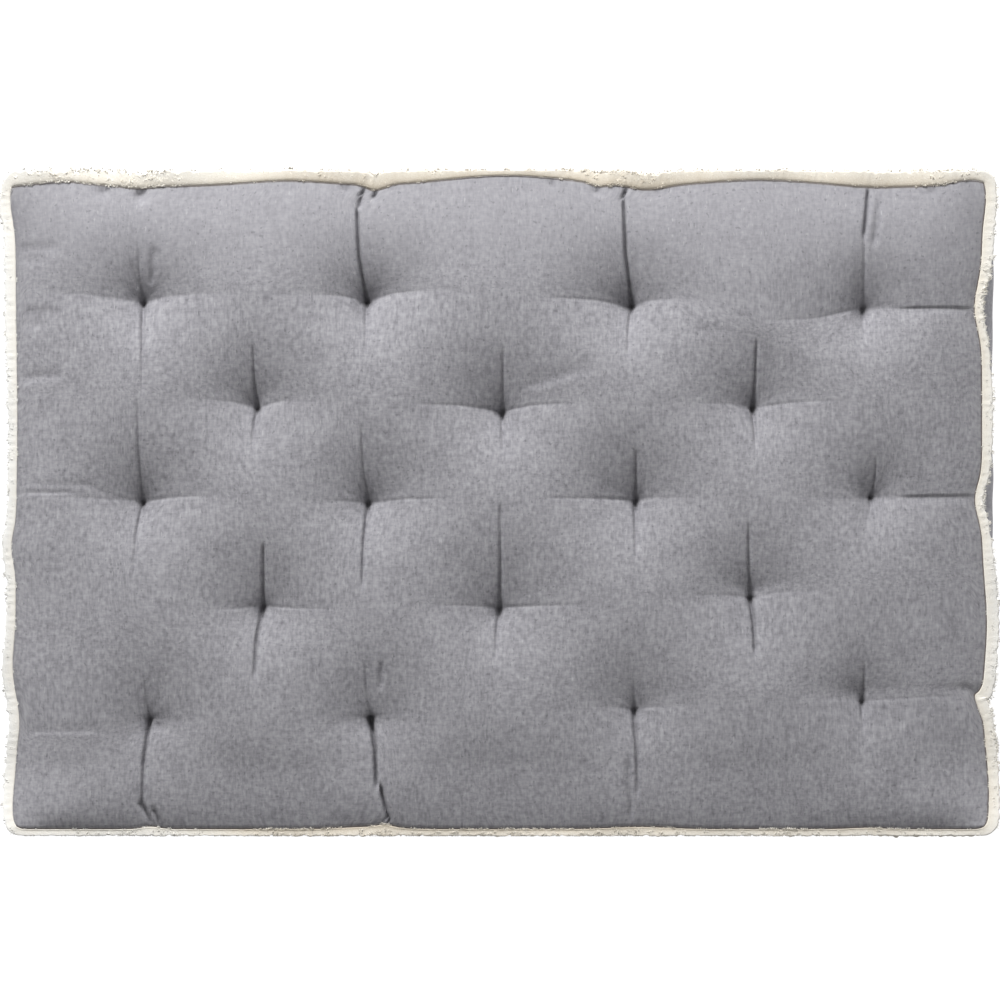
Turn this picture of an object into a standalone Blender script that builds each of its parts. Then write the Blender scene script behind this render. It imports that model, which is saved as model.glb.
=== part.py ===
"""Pallet cushion: a filled cushion, tufted right through, with a boxed edge and a frayed trim in both
edge seams. Metres, +Z up. It lies flat on its bottom panel, centred on the origin, with its long
side along X.
"""

import math
from collections import namedtuple

import bmesh
import bpy
from mathutils import Vector

# Outline and heights of the filled form
HALF_LENGTH = 0.602
HALF_WIDTH = 0.400
BOTTOM_SEAM = 0.014
TOP_SEAM = 0.084
CROWN = 0.028  # how far the pillows swell past the seam, up from the top one and down from the bottom one
ROLL = 0.075  # distance in from a seam over which a panel reaches its crown
WALL_BULGE = 0.019  # of the cage; the smoothed wall stands about 14 mm outside the seams

# Tufts: the cushion is drawn together at each, from both sides
TOP_TUFT = 0.056
BOTTOM_TUFT = 0.030
TUFT_DIP = 0.046
TUFT_REACH = 0.036

# Folds: soft troughs that run between tufts, and from the outer tufts to the seams
FOLD_SPREAD = 0.020
ROW_FOLD = {"A": 0.011, "B": 0.007, "C": 0.012, "D": 0.007, "E": 0.008}
COLUMN_FOLD = 0.006
SHORT_FOLD = 0.012
SHORT_FOLD_LENGTH = 0.070
END_FOLD = 0.012
UNDER_FOLD = 0.35  # share of a fold's depth that the weight leaves on the underside

Tuft = namedtuple("Tuft", "row x y")
TUFTS = (
    Tuft(row="A", x=-0.444, y=0.256),
    Tuft(row="A", x=-0.165, y=0.256),
    Tuft(row="A", x=0.166, y=0.251),
    Tuft(row="A", x=0.454, y=0.249),
    Tuft(row="B", x=-0.301, y=0.124),
    Tuft(row="B", x=0.004, y=0.120),
    Tuft(row="B", x=0.316, y=0.124),
    Tuft(row="C", x=-0.444, y=0.007),
    Tuft(row="C", x=-0.163, y=0.006),
    Tuft(row="C", x=0.170, y=0.009),
    Tuft(row="C", x=0.463, y=0.013),
    Tuft(row="D", x=-0.294, y=-0.123),
    Tuft(row="D", x=0.001, y=-0.125),
    Tuft(row="D", x=0.313, y=-0.112),
    Tuft(row="E", x=-0.435, y=-0.263),
    Tuft(row="E", x=-0.160, y=-0.261),
    Tuft(row="E", x=0.168, y=-0.251),
    Tuft(row="E", x=0.452, y=-0.241),
)
TUFT_COLUMNS = (-0.441, -0.298, -0.163, 0.003, 0.168, 0.314, 0.456)
TUFT_ROWS = (-0.254, -0.120, 0.009, 0.123, 0.253)

# Where the outer tufts draw the seams in. along is the place on that side, in from its middle
Pull = namedtuple("Pull", "side along depth spread")
PULLS = (
    Pull(side="right", along=0.246, depth=0.008, spread=0.040),
    Pull(side="right", along=0.022, depth=0.010, spread=0.045),
    Pull(side="right", along=-0.238, depth=0.010, spread=0.040),
    Pull(side="left", along=0.170, depth=0.005, spread=0.080),
    Pull(side="left", along=0.009, depth=0.004, spread=0.040),
    Pull(side="left", along=-0.270, depth=0.005, spread=0.050),
    Pull(side="top", along=-0.450, depth=0.003, spread=0.040),
    Pull(side="top", along=-0.163, depth=0.003, spread=0.040),
    Pull(side="top", along=0.168, depth=0.005, spread=0.050),
    Pull(side="top", along=0.465, depth=0.004, spread=0.040),
    Pull(side="bottom", along=-0.441, depth=0.003, spread=0.040),
    Pull(side="bottom", along=-0.150, depth=0.007, spread=0.040),
    Pull(side="bottom", along=0.168, depth=0.003, spread=0.040),
    Pull(side="bottom", along=0.456, depth=0.003, spread=0.040),
)
PULL_REACH = 0.060  # how far into the panel a pull is felt
SIDES = {"right": (0, 1), "left": (0, -1), "top": (1, 1), "bottom": (1, -1)}

# Cage: grid lines through every column and row of tufts, and others beside them
BESIDE_TUFT = 0.22
FROM_SEAM = 0.42
DRAW_REACH = 0.130  # how far round a tuft the grid is drawn over to it
WALL_CELLS = 2

# Trims: a frayed band in each seam, its edge a comb of short teeth
TRIM_THICKNESS = 0.0010
TRIM_GAP = 0.0009
TRIM_WIDTH = 0.020
TOOTH = 0.005
UNEVEN = 0.0015

# How steeply the top trim stands at the middle of each side and at the top left, in degrees
Lean = namedtuple("Lean", "x y degrees")
TOP_LEANS = (
    Lean(x=HALF_LENGTH, y=0.0, degrees=14),
    Lean(x=0.30, y=HALF_WIDTH, degrees=22),
    Lean(x=-0.40, y=HALF_WIDTH, degrees=62),
    Lean(x=-HALF_LENGTH, y=0.0, degrees=48),
    Lean(x=0.0, y=-HALF_WIDTH, degrees=50),
)
BOTTOM_LEANS = (Lean(x=0.0, y=0.0, degrees=-22),)

GREY_COTTON = (0.30, 0.295, 0.32, 1.0)
ECRU_COTTON = (0.80, 0.72, 0.58, 1.0)


def clear_scene():
    for obj in list(bpy.data.objects):
        bpy.data.objects.remove(obj, do_unlink=True)


def cloth_material(name, colour, roughness):
    material = bpy.data.materials.new(name)
    material.use_nodes = True
    shader = material.node_tree.nodes["Principled BSDF"]
    shader.inputs["Base Color"].default_value = colour
    shader.inputs["Roughness"].default_value = roughness
    shader.inputs["Metallic"].default_value = 0.0
    return material


def stations(tuft_lines, half):
    """Grid lines from seam to seam: one through each line of tufts, and others beside them."""
    marks = (-half, *tuft_lines, half)
    found = [-half]
    for start, end in zip(marks, marks[1:]):
        if start == -half:
            shares = (FROM_SEAM, 1.0)
        elif end == half:
            shares = (1.0 - FROM_SEAM, 1.0)
        else:
            shares = (BESIDE_TUFT, 1.0 - BESIDE_TUFT, 1.0)
        found += [start + (end - start) * share for share in shares]
    return found


COLUMNS = stations(TUFT_COLUMNS, HALF_LENGTH)
ROWS = stations(TUFT_ROWS, HALF_WIDTH)
LAST = (len(COLUMNS) - 1, len(ROWS) - 1, WALL_CELLS)


def nearest(lines, value):
    return min(range(len(lines)), key=lambda n: abs(lines[n] - value))


# The grid crossing, column and row, that each tuft lies on
CROSSINGS = {
    tuft: (
        nearest(COLUMNS, TUFT_COLUMNS[nearest(TUFT_COLUMNS, tuft.x)]),
        nearest(ROWS, TUFT_ROWS[nearest(TUFT_ROWS, tuft.y)]),
    )
    for tuft in TUFTS
}


def drawn_to_tufts(x, y):
    """A grid point shifted so that the grid's crossings lie on the tufts themselves."""
    shift = Vector((0.0, 0.0))
    for tuft, (i, j) in CROSSINGS.items():
        crossing = Vector((COLUMNS[i], ROWS[j]))
        share = max(0.0, 1.0 - (Vector((x, y)) - crossing).length / DRAW_REACH)
        shift += (Vector((tuft.x, tuft.y)) - crossing) * share**2
    return x + shift.x, y + shift.y


def from_seam(x, y):
    """Distance in from the nearest side of the outline."""
    return max(0.0, min(HALF_LENGTH - abs(x), HALF_WIDTH - abs(y)))


def pulled_in(x, y):
    """The point after the outer tufts have drawn the seams in."""
    halves = (HALF_LENGTH, HALF_WIDTH)
    point = [x, y]
    for pull in PULLS:
        axis, sign = SIDES[pull.side]
        along = (x, y)[1 - axis] - pull.along
        inside = halves[axis] - sign * (x, y)[axis]
        fade = math.exp(-((along / pull.spread) ** 2) - inside / PULL_REACH)
        point[axis] -= sign * pull.depth * fade
    return point


def folds():
    """(start, end, depth) of every trough, in plan."""
    found = []
    for first, second in zip(TUFTS, TUFTS[1:]):
        if first.row == second.row:
            found.append(((first.x, first.y), (second.x, second.y), ROW_FOLD[first.row]))
    for tuft in TUFTS:
        here = (tuft.x, tuft.y)
        for step in (SHORT_FOLD_LENGTH, -SHORT_FOLD_LENGTH):
            found.append((here, (tuft.x, tuft.y + step), SHORT_FOLD))
        if tuft.row in "AE":
            side = HALF_WIDTH if tuft.row == "A" else -HALF_WIDTH
            found.append((here, (tuft.x, side), END_FOLD))
        if tuft.row in "AC":
            found.append((here, (tuft.x, tuft.y - 2 * (TUFT_ROWS[1] - TUFT_ROWS[0])), COLUMN_FOLD))
        if tuft.x == max(other.x for other in TUFTS if other.row == tuft.row) and tuft.row in "ACE":
            found.append((here, (HALF_LENGTH, tuft.y), END_FOLD))
    return found


FOLDS = folds()


def distance_to_run(point, start, end):
    run = Vector(end) - Vector(start)
    share = (Vector(point) - Vector(start)).dot(run) / run.length_squared
    return (Vector(point) - Vector(start) - run * min(1.0, max(0.0, share))).length


def dip(x, y, fold_share):
    """How far the tufts and the folds draw a panel in from its crown."""
    total = 0.0
    for tuft in TUFTS:
        total += TUFT_DIP * math.exp(-math.hypot(x - tuft.x, y - tuft.y) / TUFT_REACH)
    deepest = 0.0
    for start, end, depth in FOLDS:
        away = distance_to_run((x, y), start, end)
        deepest = max(deepest, depth * math.exp(-((away / FOLD_SPREAD) ** 2)))
    return total + deepest * fold_share


def swell(x, y):
    """How far a panel stands past its seam, with its round edge and without its dips."""
    share = min(from_seam(x, y) / ROLL, 1.0)
    return CROWN * math.sqrt(1.0 - (1.0 - share) ** 2)


def cage_point(i, j, k):
    """The place of one grid vertex of the cage: column i, row j, level k up the wall."""
    x, y = drawn_to_tufts(COLUMNS[i], ROWS[j])
    inside_x, inside_y = pulled_in(x, y)
    rolled = min(1.0, from_seam(x, y) / ROLL)
    if k == LAST[2]:
        z = TOP_SEAM + swell(x, y) - dip(x, y, 1.0) * rolled
    elif k == 0:
        z = max(0.0, BOTTOM_SEAM - swell(x, y) + dip(x, y, UNDER_FOLD) * rolled)
    else:
        z = BOTTOM_SEAM + (TOP_SEAM - BOTTOM_SEAM) * k / LAST[2]
        corner = 0.7 if i in (0, LAST[0]) and j in (0, LAST[1]) else 1.0
        inside_x += WALL_BULGE * corner * ((i == LAST[0]) - (i == 0))
        inside_y += WALL_BULGE * corner * ((j == LAST[1]) - (j == 0))
    if (i, j) in CROSSINGS.values():
        z = {0: BOTTOM_TUFT, LAST[2]: TOP_TUFT}[k]
    return Vector((inside_x, inside_y, z))


def box_grid(mesh, cells):
    """A unit box about the origin, cut into a grid of cells along each axis."""
    bmesh.ops.create_cube(mesh, size=1.0)
    for axis, count in enumerate(cells):
        whole = [e for e in mesh.edges if abs(e.verts[0].co[axis] - e.verts[1].co[axis]) > 0.99]
        bmesh.ops.subdivide_edges(mesh, edges=whole, cuts=count - 1, use_grid_fill=True)


def make_body(collection, material):
    """The filled form: top panel, boxing and bottom panel round the filling, drawn in at the tufts."""
    cage = bmesh.new()
    box_grid(cage, LAST)
    sharp_edge = cage.edges.layers.float.new("crease_edge")
    sharp_vertex = cage.verts.layers.float.new("crease_vert")
    for vertex in cage.verts:
        i, j, k = (round((vertex.co[axis] + 0.5) * LAST[axis]) for axis in range(3))
        vertex.tag = k in (0, LAST[2]) and (i in (0, LAST[0]) or j in (0, LAST[1]))
        vertex[sharp_vertex] = float(k in (0, LAST[2]) and (i, j) in CROSSINGS.values())
        vertex.co = cage_point(i, j, k)
    for edge in cage.edges:
        on_seam = edge.verts[0].tag and edge.verts[1].tag
        edge[sharp_edge] = float(on_seam)
    bmesh.ops.recalc_face_normals(cage, faces=cage.faces)
    body = finished("cushion_body", cage, collection, material)
    smoothing = body.modifiers.new("Soft form", "SUBSURF")
    smoothing.levels = 1
    smoothing.render_levels = 1


def finished(name, mesh, collection, material):
    data = bpy.data.meshes.new(name)
    mesh.to_mesh(data)
    mesh.free()
    data.shade_smooth()
    data.materials.append(material)
    obj = bpy.data.objects.new(name, data)
    collection.objects.link(obj)
    return obj


def seam_ring(level):
    """The seam's points in order round the cushion, as the smoothed body has them."""
    last_column, last_row = LAST[0], LAST[1]
    rim = [(i, 0) for i in range(last_column)]
    rim += [(last_column, j) for j in range(last_row)]
    rim += [(i, last_row) for i in range(last_column, 0, -1)]
    rim += [(0, j) for j in range(last_row, 0, -1)]
    cage = [cage_point(i, j, level) for i, j in rim]
    smoothed = []
    for n, here in enumerate(cage):
        before, after = cage[n - 1], cage[(n + 1) % len(cage)]
        smoothed.append(here * 0.75 + (before + after) * 0.125)
        smoothed.append((here + after) * 0.5)
    return smoothed


def lean_at(point, leans):
    """The trim's slope above level, blended from the places where it is stated."""
    total, weight = 0.0, 0.0
    for lean in leans:
        near = 1.0 / (0.05 + math.hypot(point.x - lean.x, point.y - lean.y)) ** 2
        total += lean.degrees * near
        weight += near
    return math.radians(total / weight)


def make_trim(name, level, leans, collection, material):
    """A frayed band rooted in a seam: its inner edge follows the seam and its outer edge is a comb."""
    ring = seam_ring(level)
    outward = []
    for n in range(len(ring)):
        along = ring[(n + 1) % len(ring)] - ring[n - 1]
        outward.append(Vector((along.y, -along.x, 0.0)).normalized())
    band = bmesh.new()
    roots = bmesh.ops.create_circle(band, segments=len(ring), radius=1.0)["verts"]
    for root, seam, out in zip(roots, ring, outward):
        root.co = seam + out * TRIM_GAP
    grown = bmesh.ops.extrude_edge_only(band, edges=list(band.edges))["geom"]
    tips = [item for item in grown if isinstance(item, bmesh.types.BMVert)]
    for tip in tips:
        n = min(range(len(ring)), key=lambda k: (roots[k].co - tip.co).length_squared)
        slope = lean_at(ring[n], leans)
        length = TRIM_WIDTH - TOOTH * (n % 2) + UNEVEN * math.sin(2.3 * n)
        tip.co += (outward[n] * math.cos(slope) + Vector((0.0, 0.0, math.sin(slope)))) * length
    trim = finished(name, band, collection, material)
    wall = trim.modifiers.new("Thickness", "SOLIDIFY")
    wall.thickness = TRIM_THICKNESS
    wall.offset = 0.0


def main():
    clear_scene()
    collection = bpy.data.collections.new("pallet_cushion")
    bpy.context.scene.collection.children.link(collection)
    grey = cloth_material("heather_grey_cotton", GREY_COTTON, 0.92)
    ecru = cloth_material("ecru_frayed_cotton", ECRU_COTTON, 0.95)
    make_body(collection, grey)
    make_trim("top_trim", LAST[2], TOP_LEANS, collection, ecru)
    make_trim("bottom_trim", 0, BOTTOM_LEANS, collection, ecru)


main()
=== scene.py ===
import math
from collections import namedtuple

import bmesh
import bpy
import numpy as np
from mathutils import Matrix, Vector


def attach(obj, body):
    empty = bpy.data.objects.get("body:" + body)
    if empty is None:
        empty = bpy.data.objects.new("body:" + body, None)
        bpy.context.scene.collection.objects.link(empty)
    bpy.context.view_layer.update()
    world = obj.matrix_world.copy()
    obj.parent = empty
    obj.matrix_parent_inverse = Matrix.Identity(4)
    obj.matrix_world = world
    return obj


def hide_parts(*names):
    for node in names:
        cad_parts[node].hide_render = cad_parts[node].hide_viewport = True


# A pallet cushion in heather grey cotton, tufted right through, with a frayed ecru trim in both edge
# seams. Metres, +Z up. The cover is cut as cloth, filled by simulation, and then drawn down into its
# tufts and creases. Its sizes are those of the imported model.

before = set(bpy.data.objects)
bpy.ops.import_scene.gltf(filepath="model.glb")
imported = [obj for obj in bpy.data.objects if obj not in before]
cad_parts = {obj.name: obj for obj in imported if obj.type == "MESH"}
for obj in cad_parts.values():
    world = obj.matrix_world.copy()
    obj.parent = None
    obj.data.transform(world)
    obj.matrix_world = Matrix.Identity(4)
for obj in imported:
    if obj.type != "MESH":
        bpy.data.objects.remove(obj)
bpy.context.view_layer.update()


def table(kind, *rows):
    """Rows of one kind, whose columns then go by their names."""
    return tuple(kind(*row) for row in rows)


# -------- sizes of the filled form
HALF_LENGTH = 0.602
HALF_WIDTH = 0.400
BOTTOM_SEAM = 0.014
TOP_SEAM = 0.084
TOP_TUFT = 0.087  # of the filled cloth; the pinches go deeper
BOTTOM_TUFT = 0.030
ROLL_ENDS = 0.085  # distance in from a seam over which a panel reaches its crown
ROLL_TOP = 0.130
ROLL_BOTTOM = (0.030, 0.180)  # a tight one, then a slow one
TIGHT_SHARE = 0.55
HIGH_SEAM = 0.0155  # how much higher the upper seam stands at -Y, where the filling is packed up to it
HIGH_REACH = 0.085
TOP_CORNER = 0.004  # radii of the corners in plan, at +Y and at -Y
BOTTOM_CORNER = 0.012
START_CROWN = 0.022  # before filling
START_BULGE = {(0, 1): 0.016, (0, -1): 0.007, (1, 1): 0.007, (1, -1): 0.006}  # by axis and side
FULL_WALL_SLACK = 1.22  # in height, of the wall at +X
WALL_FREE = 0.6  # share of a tuft's pull that the middle of a wall escapes
START_DIP = 0.016
START_RISE = 0.6
START_REACH = 0.024
UNDER_START = 0.012
UNDER_DIPS = 0.6  # depth of the dips below, as a share of those above
DRAW_REACH = 0.045  # how far round a tuft the cells of the cloth are shifted to meet it

# The cloth: cells of about 9 mm, cut with some slack along each axis
CLOTH_CELLS = (134, 88, 8)
SLACK = (1.045, 1.030, 1.12)
PRESSURE = 30.0
FRAMES = 20
MOST_SWELL = 0.030
COTTON = {
    "quality": 6,
    "mass": 0.15,
    "tension_stiffness": 15.0,
    "compression_stiffness": 15.0,
    "shear_stiffness": 5.0,
    "bending_stiffness": 0.6,
}

# rise is how much less deep than the others the thread draws that tuft, and pinch how sharply
Tuft = namedtuple("Tuft", "name x y rise pinch")
TUFTS = table(
    Tuft,
    ("A1", -0.444, 0.256, 0.0, 0.9),
    ("A2", -0.165, 0.256, 0.0, 1.0),
    ("A3", 0.166, 0.251, 0.0, 1.0),
    ("A4", 0.454, 0.249, 0.006, 1.0),
    ("B1", -0.301, 0.124, 0.002, 1.3),
    ("B2", 0.004, 0.12, 0.003, 1.0),
    ("B3", 0.316, 0.124, 0.004, 1.2),
    ("C1", -0.444, 0.007, 0.004, 1.0),
    ("C2", -0.163, 0.006, 0.004, 1.0),
    ("C3", 0.17, 0.009, 0.005, 1.0),
    ("C4", 0.463, 0.013, 0.01, 1.25),
    ("D1", -0.294, -0.123, 0.007, 0.95),
    ("D2", 0.001, -0.125, 0.007, 1.0),
    ("D3", 0.313, -0.112, 0.008, 1.3),
    ("E1", -0.435, -0.263, 0.01, 0.75),
    ("E2", -0.16, -0.261, 0.011, 0.75),
    ("E3", 0.168, -0.251, 0.011, 0.9),
    ("E4", 0.452, -0.241, 0.012, 1.35),
)
TUFT_COLUMNS = (-0.441, -0.298, -0.163, 0.003, 0.168, 0.314, 0.456)
TUFT_ROWS = (-0.254, -0.120, 0.009, 0.123, 0.253)

# Where the tufts draw the seams in, and where the filling pushes them out between (a depth below 0).
# along is the place on that side, measured from its middle
Pull = namedtuple("Pull", "side along depth spread")
PULLS = table(
    Pull,
    ("right", 0.383, -0.005, 0.03),
    ("right", 0.25, 0.0095, 0.037),
    ("right", 0.008, 0.009, 0.028),
    ("right", -0.145, -0.006, 0.065),
    ("right", -0.243, 0.012, 0.014),
    ("right", -0.352, -0.008, 0.07),
    ("left", 0.385, -0.007, 0.035),
    ("left", 0.11, 0.002, 0.12),
    ("left", -0.05, -0.006, 0.025),
    ("left", -0.2, -0.004, 0.04),
    ("left", -0.265, 0.005, 0.035),
    ("left", -0.37, -0.003, 0.03),
    ("top", -0.54, -0.006, 0.04),
    ("top", -0.448, 0.003, 0.02),
    ("top", -0.265, -0.007, 0.075),
    ("top", -0.153, 0.008, 0.014),
    ("top", 0.01, -0.0135, 0.11),
    ("top", 0.125, 0.005, 0.014),
    ("top", 0.185, 0.006, 0.03),
    ("top", 0.325, -0.008, 0.09),
    ("top", 0.465, 0.002, 0.04),
    ("top", 0.585, -0.008, 0.03),
    ("bottom", -0.433, 0.004, 0.014),
    ("bottom", -0.165, 0.003, 0.045),
    ("bottom", -0.142, 0.004, 0.014),
    ("bottom", 0.175, 0.003, 0.05),
    ("bottom", 0.456, 0.002, 0.03),
)
PULL_REACH = 0.060

# Where the wall at +X swells out past its seams, beside the tufts that draw them in
Bulge = namedtuple("Bulge", "along out spread")
WALL_BULGES = table(
    Bulge,
    (0.258, 0.0062, 0.062),
    (0.012, 0.0056, 0.05),
)

# Axis and sign of each side of the outline, and of each way that a crease can run
SIDES = {"right": (0, 1), "left": (0, -1), "top": (1, 1), "bottom": (1, -1)}
WAYS = {"right": (0, 1), "left": (0, -1), "up": (1, 1), "down": (1, -1)}

# -------- creases drawn by the tufts
# Each runs from its tuft towards one side: how far it reaches and how far its end drifts to +X or +Y.
# pull is for the hollow round it, slit for the crease itself, and end for what is left of that at the
# end, which is 0.2 where none is given.
Arm = namedtuple("Arm", "tuft way reach drift pull slit end", defaults=(0.2,))
ARMS = table(
    Arm,
    ("A1", "up", 0.068, -0.005, 0.6, 0.4, 0.3),
    ("A1", "down", 0.12, 0.001, 0.3, 0.5, 0.15),
    ("A1", "left", 0.152, 0.012, 0.75, 0.1),
    ("A1", "right", 0.078, 0.01, 0.7, 0.4),
    ("A2", "up", 0.122, -0.012, 1.0, 1.0, 0.95),
    ("A2", "down", 0.066, -0.001, 0.3, 0.4, 0.15),
    ("A2", "left", 0.06, 0.009, 0.6, 0.6),
    ("A2", "right", 0.07, 0.014, 0.85, 0.8),
    ("A3", "up", 0.146, -0.011, 1.0, 0.95, 1.1),
    ("A3", "down", 0.067, -0.006, 0.4, 0.5),
    ("A3", "left", 0.108, 0.01, 0.95, 0.7, 0.3),
    ("A3", "right", 0.056, 0.009, 0.6, 0.6),
    ("A4", "up", 0.105, 0.001, 0.7, 0.18, 1.15),
    ("A4", "down", 0.04, 0.0, 0.3, 0.25),
    ("A4", "left", 0.128, -0.018, 0.6, 0.3, 0.6),
    ("A4", "right", 0.139, 0.0, 0.95, 0.05, 1.0),
    ("B1", "up", 0.08, -0.005, 0.8, 0.62, 0.45),
    ("B1", "down", 0.05, -0.005, 0.6, 0.55),
    ("B1", "left", 0.06, 0.01, 0.6, 0.6),
    ("B1", "right", 0.045, 0.009, 0.6, 0.5),
    ("B2", "up", 0.083, 0.001, 0.85, 0.36, 0.45),
    ("B2", "down", 0.05, 0.001, 0.45, 0.55),
    ("B2", "left", 0.115, 0.009, 0.95, 0.75, 0.3),
    ("B2", "right", 0.085, 0.01, 0.7, 0.65, 0.3),
    ("B3", "up", 0.087, 0.004, 0.9, 0.62, 0.5),
    ("B3", "down", 0.052, 0.003, 0.6, 0.6),
    ("B3", "left", 0.068, 0.006, 0.6, 0.55),
    ("B3", "right", 0.108, 0.009, 0.65, 0.6, 0.3),
    ("C1", "up", 0.132, -0.005, 0.9, 0.46, 0.45),
    ("C1", "down", 0.09, -0.009, 0.45, 0.45, 0.15),
    ("C1", "left", 0.15, 0.007, 0.8, 0.3, 0.3),
    ("C1", "right", 0.096, 0.008, 0.7, 0.55, 0.3),
    ("C2", "up", 0.098, -0.008, 0.85, 0.38, 0.4),
    ("C2", "down", 0.112, -0.007, 0.5, 0.6, 0.45),
    ("C2", "left", 0.05, 0.002, 0.5, 0.5),
    ("C2", "right", 0.1, 0.006, 0.8, 0.75, 0.3),
    ("C3", "up", 0.066, 0.0, 0.5, 0.55, 0.3),
    ("C3", "down", 0.075, 0.0, 0.5, 0.55, 0.25),
    ("C3", "left", 0.118, 0.003, 1.05, 0.75, 0.35),
    ("C3", "right", 0.06, 0.004, 0.6, 0.6),
    ("C4", "up", 0.052, 0.006, 0.45, 0.38, 0.3),
    ("C4", "left", 0.09, 0.0, 0.4, 0.3),
    ("C4", "right", 0.131, 0.0, 1.0, 0.05, 1.0),
    ("D1", "up", 0.08, 0.001, 0.95, 0.72, 0.65),
    ("D1", "down", 0.092, -0.01, 0.7, 0.72, 0.6),
    ("D1", "left", 0.066, -0.004, 0.6, 0.55),
    ("D1", "right", 0.096, -0.003, 0.7, 0.6, 0.3),
    ("D2", "up", 0.137, 0.001, 0.95, 0.62, 0.4),
    ("D2", "down", 0.065, -0.005, 0.6, 0.6),
    ("D2", "left", 0.087, 0.004, 0.75, 0.55, 0.3),
    ("D2", "right", 0.106, 0.004, 0.75, 0.7, 0.3),
    ("D3", "up", 0.096, -0.003, 0.9, 0.5, 0.55),
    ("D3", "down", 0.074, 0.005, 0.7, 0.78, 0.6),
    ("D3", "left", 0.075, 0.004, 0.6, 0.55),
    ("D3", "right", 0.087, 0.009, 0.45, 0.3, 0.3),
    ("E1", "up", 0.048, -0.005, 0.45, 0.35),
    ("E1", "down", 0.12, -0.009, 0.7, 0.72, 0.5),
    ("E1", "left", 0.156, -0.013, 0.5, 0.05),
    ("E1", "right", 0.08, 0.004, 0.45, 0.15),
    ("E2", "up", 0.07, -0.006, 0.4, 0.3, 0.3),
    ("E2", "down", 0.092, 0.008, 0.7, 1.4, 0.6),
    ("E2", "left", 0.08, 0.002, 0.45, 0.15),
    ("E2", "right", 0.07, 0.006, 0.4, 0.3),
    ("E3", "up", 0.036, 0.0, 0.4, 0.3),
    ("E3", "down", 0.112, 0.004, 0.5, 0.58, 0.55),
    ("E3", "left", 0.07, 0.004, 0.35, 0.25),
    ("E3", "right", 0.06, 0.004, 0.3, 0.2),
    ("E4", "up", 0.05, 0.002, 0.5, 0.45),
    ("E4", "down", 0.04, 0.001, 0.4, 0.38),
    ("E4", "left", 0.06, 0.003, 0.25, 0.15),
    ("E4", "right", 0.14, 0.007, 0.5, 0.35, 0.5),
)

# Creases that start at no tuft, most of them gathered into a seam: both ends, how far the middle bows to
# the left of the way along, the depth, and the spread to the right of that way. The spread to the left is
# given only where it differs
Wrinkle = namedtuple("Wrinkle", "x y to_x to_y bow depth right left", defaults=(None,))
WRINKLES = table(
    Wrinkle,
    (0.488, 0.247, 0.6, 0.248, 0.0015, 0.002, 0.0085, 0.0013),
    (0.491, 0.013, 0.6, 0.015, 0.0005, 0.0018, 0.0085, 0.0013),
    (-0.148, -0.342, -0.135, -0.395, -0.001, 0.011, 0.002),
    (-0.447, -0.362, -0.432, -0.397, 0.001, 0.007, 0.0022),
    (-0.432, -0.37, -0.42, -0.399, 0.0005, 0.006, 0.0022),
    (-0.449, -0.365, -0.437, -0.385, 0.0, 0.0035, 0.0028),
    (0.158, -0.309, 0.165, -0.392, 0.001, 0.004, 0.0026),
    (-0.43, 0.329, -0.434, 0.275, 0.0005, 0.0042, 0.0026),
    (-0.46, 0.306, -0.449, 0.269, 0.0005, 0.0022, 0.003),
    (0.461, 0.402, 0.453, 0.33, 0.0005, 0.008, 0.0022),
    (0.474, 0.389, 0.465, 0.321, 0.001, 0.0036, 0.0034),
    (-0.175, 0.37, -0.167, 0.402, 0.001, 0.008, 0.0022),
    (-0.152, 0.403, -0.157, 0.382, 0.0, 0.007, 0.003),
    (-0.192, 0.408, -0.19, 0.391, 0.0, 0.005, 0.005),
    (0.161, 0.403, 0.153, 0.382, 0.0, 0.008, 0.0024),
    (0.123, 0.407, 0.121, 0.39, 0.0, 0.0055, 0.005),
    (0.142, 0.406, 0.142, 0.394, 0.0, 0.0045, 0.0035),
    (0.197, 0.406, 0.193, 0.39, 0.0, 0.005, 0.004),
    (0.065, 0.412, 0.066, 0.399, 0.0, 0.0045, 0.005),
    (-0.494, 0.405, -0.493, 0.388, 0.0, 0.005, 0.007),
    (-0.448, 0.402, -0.447, 0.38, 0.0, 0.006, 0.007),
    (0.54, 0.407, 0.538, 0.388, 0.0, 0.0045, 0.0045),
    (-0.602, 0.32, -0.545, 0.322, 0.0, 0.0022, 0.003, 0.007),
    (-0.6, 0.309, -0.56, 0.31, 0.0, 0.0015, 0.005),
    (-0.598, 0.241, -0.545, 0.244, 0.0, 0.002, 0.0026, 0.005),
    (-0.598, 0.228, -0.554, 0.231, 0.0, 0.002, 0.0026, 0.005),
    (-0.6, 0.157, -0.54, 0.163, 0.0015, 0.0018, 0.0032, 0.009),
    (-0.6, 0.029, -0.5, 0.027, 0.0, 0.0007, 0.002, 0.004),
    (-0.6, 0.018, -0.525, 0.019, -0.0005, 0.0011, 0.002, 0.004),
    (-0.523, 0.031, -0.483, 0.014, 0.001, 0.0007, 0.002, 0.004),
    (0.028, 0.146, 0.12, 0.172, 0.002, 0.0018, 0.0035, 0.013),
    (0.238, 0.217, 0.29, 0.217, 0.001, 0.001, 0.0035, 0.01),
    (-0.146, -0.19, -0.148, -0.228, 0.0005, 0.003, 0.003),
    (-0.598, -0.281, -0.488, -0.279, 0.0015, 0.0009, 0.003, 0.012),
)
SIDE_COLUMN = -0.142  # of the second crease below tuft E2

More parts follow.
